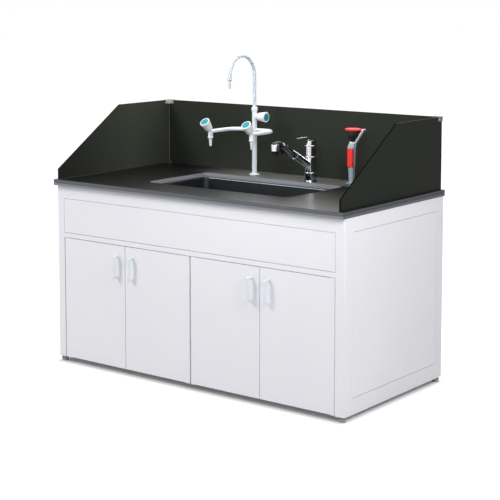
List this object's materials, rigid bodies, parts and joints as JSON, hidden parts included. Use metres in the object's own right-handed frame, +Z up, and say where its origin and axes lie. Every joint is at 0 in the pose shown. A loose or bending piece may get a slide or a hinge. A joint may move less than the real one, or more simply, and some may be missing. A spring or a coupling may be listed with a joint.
{
  "type": "laboratory sink table",
  "caption": "White laboratory cabinet table with doors, a dark worktop with an under-mounted sink bowl, splash shields, a laboratory tap with knobs, a pull-out mixer and a hand-held eyewash.",
  "frame": {"origin": "centre of the bounding box on the floor", "axes": "+X to the right along the front, +Y from the front to the back, +Z up"},
  "size_m": [1.5, 0.756, 1.3368],
  "materials": {
    "frame_white": "satin",
    "board_white": "satin",
    "handle_white": "gloss",
    "fitting_steel": "satin",
    "catch_grey": "matte",
    "foot_grey": "matte",
    "worktop_dark": "satin",
    "bowl_steel": "satin",
    "trap_white": "satin",
    "shield_dark": "gloss",
    "clip_metal": "satin",
    "lock_nut_brass": "satin",
    "tap_white": "satin",
    "knob_white": "satin",
    "cap_teal": "gloss",
    "mixer_chrome": "polished",
    "holder_grey": "satin",
    "grip_blue": "satin",
    "signal_red": "gloss",
    "cup_black": "matte",
    "rose_grey": "matte",
    "strap_white": "satin"
  },
  "bodies": {
    "table": {"end_frame_left": "frame_white", "end_frame_right": "frame_white", "cross_rails": "frame_white", "side_panel_left": "board_white", "side_panel_right": "board_white", "apron_panel": "board_white", "bottom_panel": "board_white", "back_panel": "board_white", "centre_partition": "board_white", "door_pivots": "fitting_steel", "door_catches": "catch_grey", "worktop": "worktop_dark", "sink_bowl": "bowl_steel", "bowl_clips": "fitting_steel", "drain_flange": "bowl_steel", "drain_trap": "trap_white", "shield_left": "shield_dark", "shield_right": "shield_dark", "shield_back": "shield_dark", "shield_clips": "clip_metal", "lock_nuts": "lock_nut_brass", "tap_flange": "tap_white", "tap_column": "tap_white", "swivel_nut": "tap_white", "side_arms": "tap_white", "side_nozzles": "tap_white", "mixer_base": "mixer_chrome", "mixer_body": "mixer_chrome", "eyewash_holder": "holder_grey"},
    "door_far_left": {"door_far_left": "board_white", "handle_far_left": "handle_white"},
    "door_mid_left": {"door_mid_left": "board_white", "handle_mid_left": "handle_white"},
    "door_mid_right": {"door_mid_right": "board_white", "handle_mid_right": "handle_white"},
    "door_far_right": {"door_far_right": "board_white", "handle_far_right": "handle_white"},
    "foot_front_left": {"foot_front_left": "foot_grey"},
    "foot_back_left": {"foot_back_left": "foot_grey"},
    "foot_front_right": {"foot_front_right": "foot_grey"},
    "foot_back_right": {"foot_back_right": "foot_grey"},
    "strainer": {"strainer_basket": "bowl_steel"},
    "gooseneck": {"gooseneck": "tap_white", "gooseneck_nozzle": "tap_white"},
    "knob_left": {"knob_left": "knob_white", "knob_cap_left": "cap_teal"},
    "knob_right": {"knob_right": "knob_white", "knob_cap_right": "cap_teal"},
    "knob_top": {"knob_top": "knob_white", "knob_cap_top": "cap_teal"},
    "mixer_spout": {"mixer_spout": "mixer_chrome"},
    "spray_head": {"spray_head": "mixer_chrome"},
    "mixer_hub": {"mixer_hub": "mixer_chrome"},
    "mixer_lever": {"mixer_lever": "mixer_chrome"},
    "eyewash": {"eyewash_body": "grip_blue", "spray_cup": "cup_black", "spray_rose": "rose_grey", "cap_ring": "strap_white"},
    "squeeze_lever": {"squeeze_lever": "signal_red"},
    "dust_cap": {"dust_cap": "signal_red"}
  },
  "joints": [
    {"name": "door_far_left_hinge", "type": "hinge", "parent": "table", "child": "door_far_left", "pos_m": [-0.696, -0.348, 0.286], "axis": [0, 0, -1], "range_deg": [0, 105]},
    {"name": "door_mid_left_hinge", "type": "hinge", "parent": "table", "child": "door_mid_left", "pos_m": [-0.009, -0.348, 0.286], "axis": [0, 0, 1], "range_deg": [0, 85]},
    {"name": "door_mid_right_hinge", "type": "hinge", "parent": "table", "child": "door_mid_right", "pos_m": [0.009, -0.348, 0.286], "axis": [0, 0, -1], "range_deg": [0, 85]},
    {"name": "door_far_right_hinge", "type": "hinge", "parent": "table", "child": "door_far_right", "pos_m": [0.696, -0.348, 0.286], "axis": [0, 0, 1], "range_deg": [0, 105]},
    {"name": "foot_front_left_screw", "type": "slide", "parent": "table", "child": "foot_front_left", "axis": [0, 0, -1], "range_m": [0, 0.012]},
    {"name": "foot_back_left_screw", "type": "slide", "parent": "table", "child": "foot_back_left", "axis": [0, 0, -1], "range_m": [0, 0.012]},
    {"name": "foot_front_right_screw", "type": "slide", "parent": "table", "child": "foot_front_right", "axis": [0, 0, -1], "range_m": [0, 0.012]},
    {"name": "foot_back_right_screw", "type": "slide", "parent": "table", "child": "foot_back_right", "axis": [0, 0, -1], "range_m": [0, 0.012]},
    {"name": "strainer_lift", "type": "slide", "parent": "table", "child": "strainer", "axis": [0, 0, 1], "range_m": [0, 0.05]},
    {"name": "gooseneck_swivel", "type": "hinge", "parent": "table", "child": "gooseneck", "pos_m": [-0.148, 0.27, 1.081], "axis": [0, 0, 1], "continuous": true},
    {"name": "knob_left_turn", "type": "hinge", "parent": "table", "child": "knob_left", "pos_m": [-0.261, 0.102, 0.999], "axis": [0, -0.6691, 0.7431], "range_deg": [0, 90]},
    {"name": "knob_right_turn", "type": "hinge", "parent": "table", "child": "knob_right", "pos_m": [-0.035, 0.102, 0.999], "axis": [0, -0.6691, 0.7431], "range_deg": [0, 90]},
    {"name": "knob_top_turn", "type": "hinge", "parent": "table", "child": "knob_top", "pos_m": [-0.148, 0.27, 1.058], "axis": [1, 0, 0], "range_deg": [0, 90]},
    {"name": "spout_swivel", "type": "hinge", "parent": "table", "child": "mixer_spout", "pos_m": [0.179, 0.234, 0.8648], "axis": [0, 0, 1], "range_deg": [-30, 60]},
    {"name": "spray_pull_out", "type": "slide", "parent": "mixer_spout", "child": "spray_head", "axis": [-0.1199, -0.8532, 0.5075], "range_m": [0, 0.07]},
    {"name": "hub_turn", "type": "hinge", "parent": "table", "child": "mixer_hub", "pos_m": [0.179, 0.234, 0.96], "axis": [0, 0, 1], "range_deg": [-45, 45]},
    {"name": "lever_lift", "type": "hinge", "parent": "mixer_hub", "child": "mixer_lever", "pos_m": [0.1783, 0.22905, 0.9748], "axis": [-0.9903, 0.1392, 0], "range_deg": [0, 22]},
    {"name": "eyewash_lift", "type": "slide", "parent": "table", "child": "eyewash", "axis": [0, 0, 1], "range_m": [0, 0.1]},
    {"name": "squeeze_press", "type": "hinge", "parent": "eyewash", "child": "squeeze_lever", "pos_m": [0.408, 0.1915, 0.9558], "axis": [1, 0, 0], "range_deg": [0, 5], "stiffness_Nm_per_rad": 0.5},
    {"name": "dust_cap_hinge", "type": "hinge", "parent": "eyewash", "child": "dust_cap", "pos_m": [0.458, 0.2115, 1.0411], "axis": [0, 1, 0], "range_deg": [0, 100]}
  ]
}
